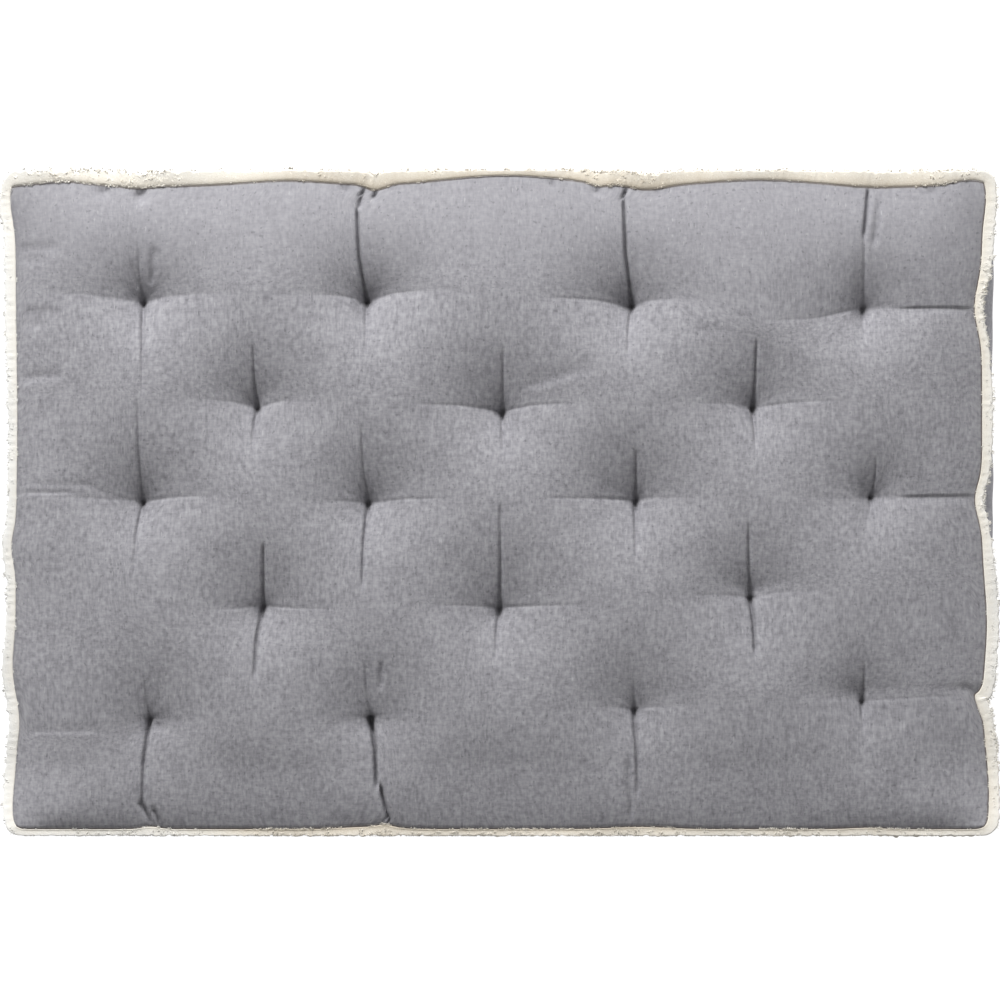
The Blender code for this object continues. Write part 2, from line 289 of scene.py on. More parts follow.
# -------- shape of the creases and pinches
ARM_BEND_AT = 0.45  # share of a crease's reach where it has drifted by the share ARM_BEND
ARM_BEND = 0.75
SLIT_DEPTH = {"up": 0.0105, "down": 0.0135, "left": 0.0014, "right": 0.0014}
SLIT_SPREAD = 0.0019
SLIT_FLARE = 0.0020  # how much wider a slit is at its tuft
FLARE_LENGTH = 0.014
SLIT_TAIL = 0.15  # share of its reach over which a slit closes
SLIT_BEHIND = 0.004
SLIT_FROM_SEAM = 0.005
TROUGH_DEPTH = 0.0028
TROUGH_SPREAD = 0.009
TROUGH_LENGTH = 0.080
TROUGH_BEHIND = 0.012
VALLEY_DEPTH = {"A": 0.0180, "B": 0.0112, "C": 0.0105, "D": 0.0078, "E": 0.0060}  # by row of tufts
VALLEY_SHOULDER = {"A": 0.0020, "B": 0.0035, "C": 0.0030, "D": 0.0045, "E": 0.014}
VALLEY_EDGE = 0.0015
VALLEY_LENGTH = 0.135
VALLEY_FADE = 1.2
VALLEY_BEHIND = 0.020
VALLEY_ABOVE = 0.115
VALLEY_BELOW = 0.075
HOLLOW_FROM_SEAM = 0.03
PINCH_DEPTH = 0.0040
PINCH_SPREAD = 0.0056
PINCH_NARROW = 0.8  # width of a pinch as a share of its length
HOLE_DEPTH = 0.0042
HOLE_WIDTH = 0.0030
HOLE_ABOVE = 0.0030
HOLE_BELOW = 0.0110
SHADE_DEPTH = 0.0060  # depth of crease over which the painted shade in it builds up
HALO_SHADE = 0.95  # strength of the painted shade round a tuft
# painted shade round each tuft: how far it spreads, and how far below the tuft it is centred
HALO_SPREAD = 0.017
HALO_BELOW = 0.009
PUCKER = 0.00010  # height of the fine gathers round each tuft
PUCKER_REACH = 0.022
PUCKER_RAYS = (7, 11, 16)
WRINKLE_FADE = 0.20  # share of a wrinkle's length over which each end fades

# Fine lines of the finished cover: closest along the creases
FINE_STEP = 0.0014
FINE_BAND = 0.004
OPEN_STEP = 0.0051
STEP_GROWTH = 0.15
WALL_SHARES = np.array((0.0, 0.05, 0.11, 0.19, 0.29, 0.40, 0.50, 0.60, 0.71, 0.81, 0.89, 0.95, 1.0))
WALL_CLOTH = 0.086  # height of the wall's cloth
GUIDE_CATCH = 0.025  # how far from its line a tuft may lie
GUIDE_FADE = 0.030
GUIDE_FROM_SEAM = 0.02
UNDERSIDE_KEPT = 0.12

# -------- sizes of the frayed trims
TRIM_STATIONS = 2200
TRIM_ROWS = 8
TRIM_THICKNESS = 0.0010
TRIM_ROOT = 0.0009  # distance out from the seam
TRIM_LIP = 0.0006  # how far the strip's fold stands over the panel
LIP_RAGGED = 0.0016
LIP_AT = 0.14  # in shares of the strip's width, as are the next two
LIP_SPREAD = 0.12
FOLD_SPREAD = 0.10
FOLD_HEIGHT = 0.0010
FOLD_LEVEL = 0.2  # share of its height that the fold has at the ends; it is fullest at +Y
CURL = 0.03
LUMPS = 0.0002
LEAST_HEIGHT = 0.0004  # above what the cushion lies on
STRIP_TONE = -0.20
EDGE_TONE = 1.05  # how much paler the strip's edge is than its seam: painted shade at the seam, painted light at the edge
SLOPE_WAVES = (8, 40)  # fewest and most waves round the cushion
WIDTH_WAVES = (20, 120)
RAGGED_WAVES = (150, 500)
LIP_WAVES = (150, 600)
LUMP_WAVES = (200, 600)
STRAND_LENGTH = 0.0055
STRAND_RADIUS = 0.00042
LEAST_STRAND = 0.0008
SMOOTH_SHARE = 0.10  # of the locks, which shows beside the share that is loose
LOCK_STRANDS = 7  # fibres that hang together

# How the locks lie. Roots are in shares of the strip's width, leans and swings in radians
EDGE_ROOTS = (0.80, 1.0)
OPEN_ROOTS = (0.1, 0.8)
INWARD_ROOTS = (0.0, 0.2)
INWARD_LEAN = 0.50
OUTWARD_LEAN = 0.10
LOOSE_LEAN = 0.14
LOCK_LEAN = 0.10
LOCK_SWING = 0.32
LOCK_LENGTHS = (0.6, 1.15)
INWARD_LENGTH = 0.65
LEAST_WILD = 0.5  # where the fray isn't loose at all
WILD_LENGTH = 0.25

# How each fibre differs from its lock
ROOT_SCATTER = 0.06
ROOT_STEP = 0.0010
STRAND_LEAN = 0.06
STRAND_SWING = 0.14
STRAND_BEND = 0.08
STRAND_LENGTHS = (0.75, 1.1)
STRAND_RADII = (0.7, 1.3)
INWARD_DROOP = 0.25
OUTWARD_DROOP = 0.08
HEADING_OUT = 0.05  # how much a fibre has to point to -Y to be cut there
RING_AT = 0.55  # share of a fibre's length at which its second ring lies
TAPER = 0.45  # how much it thins along that length, before its tip
FLATNESS = 0.6
STRAND_POINTS = (3, 3, 1)  # at its root, its second ring and its tip
ROOT_TONE = 0.35
PALER = (0.0, 0.1375, 0.30)  # than its root: painted light towards the tip, painted shade at the root
STRAND_TONE = 0.35  # how much of the tone is left to chance
LOCK_TONE = 0.65  # how much of that a lock shares
LEAST_LOOSE = 0.24
LEAST_INWARD = 0.10

# How steeply the strip of a trim stands, in degrees above level, how wide it is and how much its tone
# differs, at places round the cushion: paler above 0. On the long sides the upper trim's width is what
# reaches the straight line EDGE_REACH.
Lean = namedtuple("Lean", "x y degrees width tone")
TOP_LEANS = table(
    Lean,
    (HALF_LENGTH, 0.33, 4, 0.014, 0.95),
    (HALF_LENGTH, 0.24, 4, 0.0092, 0.6),
    (HALF_LENGTH, 0.1, 4, 0.013, 0.95),
    (HALF_LENGTH, 0.01, 4, 0.01, 0.85),
    (HALF_LENGTH, -0.13, 4, 0.015, 1.35),
    (HALF_LENGTH, -0.33, 4, 0.013, 0.75),
    (0.5, HALF_WIDTH, 4, 0.012, 0.05),
    (0.1, HALF_WIDTH, 4, 0.012, -0.15),
    (-0.15, HALF_WIDTH, 4, 0.012, -0.05),
    (-0.5, HALF_WIDTH, 4, 0.012, 0.6),
    (-HALF_LENGTH, 0.3, 4, 0.0135, 1.6),
    (-HALF_LENGTH, 0.02, 4, 0.0108, 1.6),
    (-HALF_LENGTH, -0.3, 4, 0.013, 1.6),
    (-0.5, -HALF_WIDTH, 6, 0.0072, 1.2),
    (-0.22, -HALF_WIDTH, 8, 0.0105, -0.05),
    (0.1, -HALF_WIDTH, 8, 0.0105, 0.05),
    (0.42, -HALF_WIDTH, 6, 0.01, 0.35),
)
BOTTOM_LEANS = table(
    Lean,
    (HALF_LENGTH, 0.2, -4, 0.0175, 0.0),
    (HALF_LENGTH, -0.2, -4, 0.0145, 0.0),
    (0.0, HALF_WIDTH, -6, 0.007, 0.8),
    (-HALF_LENGTH, 0.0, -6, 0.007, 1.8),
    (0.0, -HALF_WIDTH, -6, 0.006, 1.4),
)
LEAN_BLEND = 0.03  # distance within which a place's own lean rules
EDGE_REACH = {1: 0.4195, -1: 0.4072}
EDGE_WIDTHS = (0.0060, 0.0190)
SLOPE_WANDER = 0.08
WIDTH_WANDER = 0.05
RAGGED = 0.03
LOOSE_RAGGED = 0.12
FRONT_CUT = 0.4092  # the straight line at -Y that the fibres are cut to

# Where the fray is loose: the place, the length of trim that it takes, how loose it is, and the share of
# its locks that lie in over the panel
Fray = namedtuple("Fray", "x y spread loose inward")
FRAYS = table(
    Fray,
    (-0.52, HALF_WIDTH, 0.09, 1.0, 0.3),
    (-0.43, HALF_WIDTH, 0.04, 0.8, 0.35),
    (-0.153, HALF_WIDTH, 0.02, 0.5, 0.2),
    (0.14, HALF_WIDTH, 0.06, 0.9, 0.35),
    (0.555, HALF_WIDTH, 0.04, 0.8, 0.3),
    (HALF_LENGTH, 0.27, 0.05, 0.9, 0.12),
    (HALF_LENGTH, -0.3, 0.06, 0.6, 0.12),
    (-0.42, -HALF_WIDTH, 0.06, 0.6, 0.22),
    (-0.255, -HALF_WIDTH, 0.06, 1.2, 0.45),
    (-0.145, -HALF_WIDTH, 0.03, 1.1, 0.45),
    (0.05, -HALF_WIDTH, 0.22, 0.8, 0.28),
    (0.355, -HALF_WIDTH, 0.04, 1.3, 0.5),
    (0.5, -HALF_WIDTH, 0.06, 0.6, 0.3),
)

# level is the row of the wall that the trim is sewn to, and flat_width its width as cut, without the fray
Trim = namedtuple("Trim", "name level leans flat_width strands seed")
TRIMS = (
    Trim("top_trim", len(WALL_SHARES) - 1, TOP_LEANS, 0.013, 34000, 21),
    Trim("bottom_trim", 0, BOTTOM_LEANS, 0.010, 7000, 57),
)

# -------- yarns, fibres and light
# Sizes of the blobs of unevenness across and along the cloth, in metres
Grain = namedtuple("Grain", "across along detail seed")
MOTTLE = Grain(0.0062, 0.0060, 3.0, 3.0)
SLUBS = Grain(0.0029, 0.0100, 1.0, 11.0)
PICKS = Grain(0.0090, 0.0018, 1.0, 23.0)
CLOUDS = Grain(0.028, 0.034, 2.0, 37.0)
FLECKS = Grain(0.0034, 0.0046, 0.0, 51.0)
PALE_SLUBS = Grain(0.0022, 0.0095, 0.0, 67.0)
FIBRES = Grain(0.0016, 0.0016, 3.0, 5.0)
PATCHES = Grain(0.030, 0.030, 2.0, 19.0)

# Ranges of a value: where it starts and ends, and what it then starts and ends as
CALM = (0.24, 0.34, 1.08, 0.58)  # less mottled towards +Y
YARN_MIX_AND_PAINTED_LIGHT = (0.560, 0.602, 0.45, 0.53)  # the yarns' mix, with painted light: paler towards the wall at +X, where the roll lies in shade
SEAM_LINE = (0.0004, 0.0016, 1.0, 0.0)
FLECK_RANGE = (0.24, 0.31)
PALE_SLUB_RANGE = (0.25, 0.33)

YARN_PITCH = 0.0009
DARK_YARN = (0.175, 0.171, 0.190, 1.0)
PALE_YARN = (0.470, 0.464, 0.488, 1.0)
# the colour of the dark flecks, and also of the painted shade in the creases and round the tufts
FLECK_AND_PAINTED_SHADE = (0.085, 0.083, 0.098, 1.0)
FLECK_SHARE = 0.34
PALE_SLUB = (0.62, 0.615, 0.63, 1.0)
PALE_SLUB_SHARE = 0.28
# share of the fleck colour painted in as shade along the creases and round the tufts
CREASE_PAINTED_SHADE = 0.30
# painted shade: a brown shadow line along the seams at +Y, -Y and +X and down the wall corners, and the
# share of it that is mixed in
SEAM_SHADE = (0.16, 0.125, 0.095, 1.0)
SEAM_SHADE_SHARE = 0.60
ECRU_DEEP = (0.66, 0.585, 0.47, 1.0)
ECRU = (0.87, 0.83, 0.745, 1.0)
# painted glare: the near-white that the ecru runs to where its tone passes 1, at the trims' pale edges and
# fibre tips
PAINTED_GLARE = (0.90, 0.893, 0.862, 1.0)
WHITE = (1.0, 1.0, 1.0, 1.0)
HEATHER_FINISH = {"Specular IOR Level": 0.2, "Sheen Weight": 0.12, "Sheen Roughness": 0.5}
ECRU_FINISH = {"Roughness": 0.95, "Specular IOR Level": 0.15, "Sheen Weight": 0.15, "Sheen Roughness": 0.6}
FLOOR_FINISH = {
    "Base Color": (0.40, 0.40, 0.40, 1.0),
    "Roughness": 1.0,
    "Specular IOR Level": 0.0,
    "Emission Color": WHITE,
    "Emission Strength": 0.92,
}
FLOOR_SIZE = 80.0
FLOOR_DROP = 0.0005

CAMERA_PLACE = (0.00125, 0.0094, 5.974)
CAMERA_LENS = 170.0
CAMERA_SENSOR = 36.0
SKY_STRENGTH = 0.22
Lamp = namedtuple("Lamp", "name size size_y place aim watts")
LAMPS = (
    Lamp("key", 3.0, 1.4, (-1.25, 4.05, 2.15), (0.0, 0.0, 0.05), 348.0),
    Lamp("overhead", 3.0, 3.0, (0.0, -0.3, 3.6), (0.0, 0.0, 0.0), 9.0),
    Lamp("fill", 2.0, 1.5, (3.3, 0.1, 1.3), (0.0, 0.0, 0.05), 15.0),
)
UP = np.array((0.0, 0.0, 1.0))


# -------- curves that the shapes share
def bell(distance, spread):
    return np.exp(-((distance / spread) ** 2))


def ease(share):
    share = np.clip(share, 0.0, 1.0)
    return share * share * (3.0 - 2.0 * share)


def arch(distance, reach):
    """Rises from 0 at a seam to 1, steeply at first, as filled cloth does."""
    return 1.0 - (1.0 - np.clip(distance / reach, 0.0, 1.0)) ** 2


def belly(share):
    """How far a wall swells out at a share of its height: 0 at both seams and 1 between them."""
    return 4.0 * share * (1.0 - share)


def softened(away, round_off, reach):
    """Share of a reach, from 0 at the crease to 1, with the crease itself rounded off."""
    return np.clip((np.sqrt(away**2 + round_off**2) - round_off) / reach, 0.0, 1.0)


def wander(waves, seed):
    """A smooth uneven value for each station round the cushion, about -1 to 1, closing on itself."""
    chance = np.random.default_rng(seed)
    turn = np.arange(TRIM_STATIONS) * 2.0 * math.pi / TRIM_STATIONS
    total = np.zeros(TRIM_STATIONS)
    for wave in chance.integers(waves[0], waves[1], 12):
        total += np.sin(turn * wave + chance.uniform(0.0, 2.0 * math.pi)) * chance.uniform(0.4, 1.0)
    return total / 3.0


# -------- the cloth, cut and filled
def from_seam(x, y):
    """Distance in from the nearest side of the outline."""
    return np.clip(np.minimum(HALF_LENGTH - np.abs(x), HALF_WIDTH - np.abs(y)), 0.0, None)


def rounded(x, y):
    """Points with the square corners of the outline drawn round."""
    radius = np.where(y > 0.0, TOP_CORNER, BOTTOM_CORNER)
    past_x = np.clip(np.abs(x) - HALF_LENGTH + radius, 0.0, None)
    past_y = np.clip(np.abs(y) - HALF_WIDTH + radius, 0.0, None)
    share = 1.0 - np.maximum(past_x, past_y) / np.maximum(np.hypot(past_x, past_y), 1e-9)
    share = np.where((past_x > 0.0) & (past_y > 0.0), share, 0.0)
    return x - np.sign(x) * past_x * share, y - np.sign(y) * past_y * share


def pulled_in(x, y):
    """Points after the outer tufts have drawn the seams in."""
    halves = (HALF_LENGTH, HALF_WIDTH)
    flat = (x, y)
    moved = list(rounded(x, y))
    for pull in PULLS:
        axis, sign = SIDES[pull.side]
        along = flat[1 - axis] - pull.along
        inside = halves[axis] - sign * flat[axis]
        moved[axis] -= sign * pull.depth * np.exp(-((along / pull.spread) ** 2) - inside / PULL_REACH)
    return moved


def box_grid(cells):
    """A mesh of a box cut into cells along each axis, and the column, row and level of each vertex."""
    mesh = bmesh.new()
    bmesh.ops.create_cube(mesh, size=1.0)
    for axis, count in enumerate(cells):
        whole = [e for e in mesh.edges if abs(e.verts[0].co[axis] - e.verts[1].co[axis]) > 0.99]
        bmesh.ops.subdivide_edges(mesh, edges=whole, cuts=count - 1, use_grid_fill=True)
    bmesh.ops.recalc_face_normals(mesh, faces=mesh.faces)
    data = bpy.data.meshes.new("cover")
    mesh.to_mesh(data)
    mesh.free()
    places = np.empty(len(data.vertices) * 3)
    data.vertices.foreach_get("co", places)
    return data, np.rint((places.reshape(-1, 3) + 0.5) * cells).astype(int)


def swell(x, y):
    """Share of the crown that a panel has at a place before it is filled."""
    ends = arch(HALF_LENGTH - np.abs(x), ROLL_ENDS)
    tight, slow = (arch(HALF_WIDTH + y, reach) for reach in ROLL_BOTTOM)
    return ends * arch(HALF_WIDTH - y, ROLL_TOP) * (TIGHT_SHARE * tight + (1.0 - TIGHT_SHARE) * slow)


def draw_to_tufts(x, y, lines_x, lines_y):
    """Grid points shifted so that a crossing lies on each tuft, and the crossings' numbers."""
    crossings = []
    moved_x, moved_y = x.copy(), y.copy()
    for tuft in TUFTS:
        i = int(np.argmin(np.abs(lines_x - tuft.x)))
        j = int(np.argmin(np.abs(lines_y - tuft.y)))
        crossings.append((i, j))
        away = np.hypot(x - lines_x[i], y - lines_y[j])
        near = np.clip(1.0 - away / DRAW_REACH, 0.0, 1.0) ** 2
        moved_x += (tuft.x - lines_x[i]) * near
        moved_y += (tuft.y - lines_y[j]) * near
    return moved_x, moved_y, crossings


def hold_tufts(x, y, grid, crossings):
    """How deep the panels dip at first round the tufts, and the height of each point that a tuft holds."""
    dips, heights = np.zeros(len(x)), np.zeros(len(x))
    is_tuft = np.zeros(len(x), bool)
    for tuft, (i, j) in zip(TUFTS, crossings):
        dip = START_DIP - START_RISE * tuft.rise
        dips = np.maximum(dips, dip * np.exp(-np.hypot(x - tuft.x, y - tuft.y) / START_REACH))
        for level, height in ((0, BOTTOM_TUFT), (CLOTH_CELLS[2], TOP_TUFT + tuft.rise)):
            pinned = (grid == (i, j, level)).all(axis=1)
            heights[pinned] = height
            is_tuft |= pinned
    return dips, heights, is_tuft


def cut_and_fill():
    """The cover as cloth, held at its seams and tufts and filled. Returns its points by grid place."""
    data, grid = box_grid(CLOTH_CELLS)
    lines_x = np.linspace(-HALF_LENGTH, HALF_LENGTH, CLOTH_CELLS[0] + 1)
    lines_y = np.linspace(-HALF_WIDTH, HALF_WIDTH, CLOTH_CELLS[1] + 1)
    flat_x, flat_y = lines_x[grid[:, 0]], lines_y[grid[:, 1]]
    share = grid[:, 2] / CLOTH_CELLS[2]
    on_top, on_bottom = share == 1.0, share == 0.0
    on_wall = np.isin(grid[:, 0], (0, CLOTH_CELLS[0])) | np.isin(grid[:, 1], (0, CLOTH_CELLS[1]))
    x, y, crossings = draw_to_tufts(flat_x, flat_y, lines_x, lines_y)
    dips, heights, is_tuft = hold_tufts(x, y, grid, crossings)
    rise = swell(x, y)
    pulled_x, pulled_y = pulled_in(x, y)
    hold = 1.0 - WALL_FREE * belly(share) * on_wall
    x, y = x + (pulled_x - x) * hold, y + (pulled_y - y) * hold
    z = BOTTOM_SEAM + (TOP_SEAM - BOTTOM_SEAM) * share
    cut = np.stack((flat_x, flat_y, z), axis=1) * SLACK
    cut[grid[:, 0] == CLOTH_CELLS[0], 2] *= FULL_WALL_SLACK / SLACK[2]
    z += on_top * (START_CROWN - dips) * rise
    z += on_bottom * (UNDER_DIPS * dips - UNDER_START) * rise
    z[is_tuft] = heights[is_tuft]
    for (axis, side), bulge in START_BULGE.items():
        wall = CLOTH_CELLS[axis] if side > 0 else 0
        place = (x, y)[axis]
        place += bulge * side * belly(share) * (grid[:, axis] == wall)
    start = np.stack((x, y, z), axis=1)
    held = is_tuft | ((on_top | on_bottom) & on_wall)
    filled = simulate(data, start, cut, held)
    points = np.zeros(tuple(count + 1 for count in CLOTH_CELLS) + (3,))
    points[grid[:, 0], grid[:, 1], grid[:, 2]] = filled
    return points


def simulate(data, start, cut, held):
    """Fills the cloth: springs cut to one shape, started from another, swelled by pressure."""
    data.vertices.foreach_set("co", start.ravel())
    cloth = bpy.data.objects.new("cover_cloth", data)
    bpy.context.scene.collection.objects.link(cloth)
    seams = cloth.vertex_groups.new(name="held")
    seams.add([int(n) for n in np.flatnonzero(held)], 1.0, "REPLACE")
    cloth.shape_key_add(name="start")
    pattern = cloth.shape_key_add(name="cut")
    pattern.data.foreach_set("co", cut.ravel())
    pattern.value = 0.0
    filling = cloth.modifiers.new("Filling", "CLOTH")
    settings = filling.settings
    for name, value in COTTON.items():
        setattr(settings, name, value)
    settings.vertex_group_mass = seams.name
    settings.rest_shape_key = pattern
    settings.use_pressure = True
    settings.uniform_pressure_force = PRESSURE
    settings.effector_weights.gravity = 0.0
    filling.collision_settings.use_collision = False
    filling.point_cache.frame_start = 1
    filling.point_cache.frame_end = FRAMES
    for number in range(1, FRAMES + 1):
        bpy.context.scene.frame_set(number)
    settled = cloth.evaluated_get(bpy.context.evaluated_depsgraph_get()).to_mesh()
    moved = np.empty(len(data.vertices) * 3)
    settled.vertices.foreach_get("co", moved)
    moved = moved.reshape(-1, 3) - start
    bpy.context.scene.frame_set(1)
    bpy.data.objects.remove(cloth, do_unlink=True)
    length = np.linalg.norm(moved, axis=1, keepdims=True)
    return start + moved * np.minimum(1.0, MOST_SWELL / np.maximum(length, 1e-9))


# -------- fine lines along the creases
def graded_lines(marks, half):
    """Lines from seam to seam, close together at the marks and further apart between them."""
    marks = np.array(marks)
    found = [-half]
    while found[-1] < half:
        away = np.min(np.abs(marks - found[-1]))
        found.append(found[-1] + min(OPEN_STEP, FINE_STEP + STEP_GROWTH * max(0.0, away - FINE_BAND)))
    found = np.array(found)
    found[-1] = half
    for mark in marks:
        found[np.argmin(np.abs(found - mark))] = mark
    return found


def spline_weights(count, places):
    """Weights of a smooth curve through rows of control points, with both ends held."""
    start = np.clip(np.floor(places).astype(int), 0, count - 2)
    t = places - start
    terms = ((1 - t) ** 3, 3 * t**3 - 6 * t**2 + 4, -3 * t**3 + 3 * t**2 + 3 * t + 1, t**3)
    weights = np.zeros((len(places), count + 2))
    for n, term in enumerate(terms):
        weights[np.arange(len(places)), start + n] += term / 6.0
    weights[:, 1] += 2.0 * weights[:, 0]
    weights[:, 2] -= weights[:, 0]
    weights[:, -2] += 2.0 * weights[:, -1]
    weights[:, -3] -= weights[:, -1]
    return weights[:, 1:-1]


def carried(patch, first, second):
    """A patch of cloth points carried to finer lines along both its directions."""
    return np.einsum("ai,bj,ijc->abc", first, second, patch, optimize=True)


def finer(cloth, lines_x, lines_y):
    """The filled cloth on the fine lines: an array of points, of which only the surface is used."""
    cells = [count - 1 for count in cloth.shape[:3]]
    along_x = spline_weights(cells[0] + 1, (lines_x + HALF_LENGTH) / (2 * HALF_LENGTH) * cells[0])
    along_y = spline_weights(cells[1] + 1, (lines_y + HALF_WIDTH) / (2 * HALF_WIDTH) * cells[1])
    up = spline_weights(cells[2] + 1, WALL_SHARES * cells[2])
    fine = np.zeros((len(lines_x), len(lines_y), len(WALL_SHARES), 3))
    for end in (0, -1):
        fine[end] = carried(cloth[end], along_y, up)
    for end in (0, -1):
        fine[:, end] = carried(cloth[:, end], along_x, up)
    for end in (0, -1):
        fine[:, :, end] = carried(cloth[:, :, end], along_x, along_y)
    return fine


def guide(line, axis):
    """Knots of the bent line that a row or column of tufts and their creases lie on."""
    across = 1 - axis
    knots = []
    for tuft in TUFTS:
        here = (tuft.x, tuft.y)
        if abs(here[axis] - line) >= GUIDE_CATCH:
            continue
        knots.append((here[across], here[axis]))
        for arm in ARMS:
            along, sign = WAYS[arm.way]
            if arm.tuft == tuft.name and along == across:
                reach = sign * arm.reach
                knots.append((here[across] + reach * ARM_BEND_AT, here[axis] + arm.drift * ARM_BEND))
                knots.append((here[across] + reach, here[axis] + arm.drift))
    knots.sort()
    return np.array(knots)


def shift_to_guides(places, lines):
    """Moves the fine lines sideways, so that they run along the creases."""
    moved = [place.copy() for place in places]
    for axis, marks in enumerate((TUFT_COLUMNS, TUFT_ROWS)):
        for mark in marks:
            knots = guide(mark, axis)
            at = int(np.argmin(np.abs(lines[axis] - mark)))
            here, along = (np.take(place, at, axis=axis) for place in (places[axis], places[1 - axis]))
            wanted = np.interp(along, knots[:, 0], knots[:, 1]) - here
            near = bell(lines[axis] - mark, GUIDE_FADE)
            moved[axis] += np.expand_dims(wanted, axis) * np.expand_dims(near, 1 - axis)
    inside = ease(from_seam(*places) / GUIDE_FROM_SEAM)
    return [place + (shifted - place) * inside for place, shifted in zip(places, moved)]


# -------- creases and pinches
def slit_depth(away, arm, along):
    """The narrow crease itself, widest at its tuft."""
    share = np.clip(along / arm.reach, 0.0, 1.0)
    closing = 1.0 - ease((share - (1.0 - SLIT_TAIL)) / SLIT_TAIL)
    strength = (1.0 - (1.0 - arm.end) * share) * closing
    spread = SLIT_SPREAD + SLIT_FLARE * np.exp(-np.clip(along, 0.0, None) / FLARE_LENGTH)
    depth = SLIT_DEPTH[arm.way] * arm.slit * strength * bell(away, spread)
    return depth * ease(along / SLIT_BEHIND + 1.0)


def hollow_depth(away, arm, along):
    """The broad hollow that a crease lies in."""
    if arm.way in ("up", "down"):
        length = np.exp(-np.clip(along, 0.0, None) / TROUGH_LENGTH) * ease(along / TROUGH_BEHIND + 1.0)
        return arm.pull * TROUGH_DEPTH * np.exp(-np.abs(away) / TROUGH_SPREAD) * length
    row = arm.tuft[0]
    fade = np.clip(1.0 - along / VALLEY_LENGTH, 0.0, 1.0) ** VALLEY_FADE
    fade = np.where(along < 0.0, bell(along, VALLEY_BEHIND), fade)
    above = (1.0 - softened(away, VALLEY_EDGE, VALLEY_ABOVE)) ** 2
    below = (1.0 - softened(away, VALLEY_SHOULDER[row], VALLEY_BELOW)) ** 2
    return arm.pull * fade * VALLEY_DEPTH[row] * np.where(away > 0.0, above, below)


def wrinkle_depth(x, y):
    total = np.zeros_like(x)
    for wrinkle in WRINKLES:
        way = np.array((wrinkle.to_x - wrinkle.x, wrinkle.to_y - wrinkle.y))
        length = np.hypot(*way)
        way /= length
        share = ((x - wrinkle.x) * way[0] + (y - wrinkle.y) * way[1]) / length
        across = (y - wrinkle.y) * way[0] - (x - wrinkle.x) * way[1]
        across -= wrinkle.bow * belly(share)
        ends = ease(share / WRINKLE_FADE) * ease((1.0 - share) / WRINKLE_FADE)
        spread = np.where(across > 0.0, wrinkle.left or wrinkle.right, wrinkle.right)
        total += wrinkle.depth * bell(across, spread) * ends
    return total


def pucker(x, y, name):
    """Fine gathers that run out from a tuft, at places from it."""
    chance = np.random.default_rng([ord(letter) for letter in name])
    radius = np.hypot(x, y) / PUCKER_REACH
    turn = np.arctan2(y, x)
    waves = sum(np.cos(rays * turn + chance.uniform(0.0, 2.0 * math.pi)) for rays in PUCKER_RAYS)
    return PUCKER * waves * radius * np.exp(1.0 - radius)


def crease_depth(x, y):
    """How far the creases and pinches draw the upper panel down: the hollows, and the fine creases."""
    lengthwise, sideways = np.zeros_like(x), np.zeros_like(x)
    slits = wrinkle_depth(x, y)
    tufts = {tuft.name: tuft for tuft in TUFTS}
    for arm in ARMS:
        tuft = tufts[arm.tuft]
        axis, sign = WAYS[arm.way]
        here = (tuft.x, tuft.y)
        along = sign * ((x, y)[axis] - here[axis])
        knots = (0.0, ARM_BEND_AT * arm.reach, arm.reach)
        bend = np.interp(along, knots, (0.0, ARM_BEND * arm.drift, arm.drift))
        away = (x, y)[1 - axis] - here[1 - axis] - bend
        slits = np.maximum(slits, slit_depth(away, arm, along))
        drawn = hollow_depth(away, arm, along)
        if arm.way in ("up", "down"):
            lengthwise = np.maximum(lengthwise, drawn)
        else:
            sideways = np.maximum(sideways, drawn)
    hollows = lengthwise + sideways
    for tuft in TUFTS:
        hollows += pucker(x - tuft.x, y - tuft.y, tuft.name)
        radius = np.hypot((x - tuft.x) / PINCH_NARROW, y - tuft.y)
        hollows += tuft.pinch * PINCH_DEPTH * np.exp(-radius / PINCH_SPREAD)
        length = np.where(y > tuft.y, HOLE_ABOVE, HOLE_BELOW)
        hole = tuft.pinch * HOLE_DEPTH * bell(x - tuft.x, HOLE_WIDTH)
        slits += hole * np.exp(-np.abs(y - tuft.y) / length)
    return hollows, slits


def packed(y):
    """How much the filling packed up to the seam at -Y lifts that seam and the panel near it."""
    return HIGH_SEAM * np.clip(1.0 - (HALF_WIDTH + y) / HIGH_REACH, 0.0, 1.0) ** 1.5


def creased(cloth, lines_x, lines_y):
    """The filled cloth on fine lines with its creases drawn in, and the depth of the fine creases."""
    fine = finer(cloth, lines_x, lines_y)
    top = fine[:, :, -1]
    top[..., 0], top[..., 1] = shift_to_guides((top[..., 0], top[..., 1]), (lines_x, lines_y))
    for bulge in WALL_BULGES:
        near = bell(lines_y - bulge.along, bulge.spread)
        fine[-1, ..., 0] += bulge.out * near[:, None] * belly(WALL_SHARES)
    fine[..., 2] += packed(lines_y)[None, :, None] * WALL_SHARES
    inside = from_seam(lines_x[:, None], lines_y[None, :])
    hollows, slits = crease_depth(top[..., 0], top[..., 1])
    slits *= ease(inside / SLIT_FROM_SEAM)
    top[..., 2] -= hollows * ease(inside / HOLLOW_FROM_SEAM) + slits
    fine[..., 2] = np.clip(fine[..., 2], 0.0, None)
    return fine, slits


# -------- pieces of the scene
def add_values(data, name, values):
    """One value for each point of a mesh, for a material to read."""
    made = data.attributes.new(name, "FLOAT", "POINT")
    made.data.foreach_set("value", values.astype(np.float32))


def new_piece(name, data, material):
    data.update()
    data.shade_smooth()
    data.materials.append(material)
    piece = bpy.data.objects.new(name, data)
    bpy.context.scene.collection.objects.link(piece)
    return piece


def apply_modifier(piece, modifier):
    bpy.ops.object.select_all(action="DESELECT")
    bpy.context.view_layer.objects.active = piece
    bpy.ops.object.modifier_apply(modifier=modifier.name)


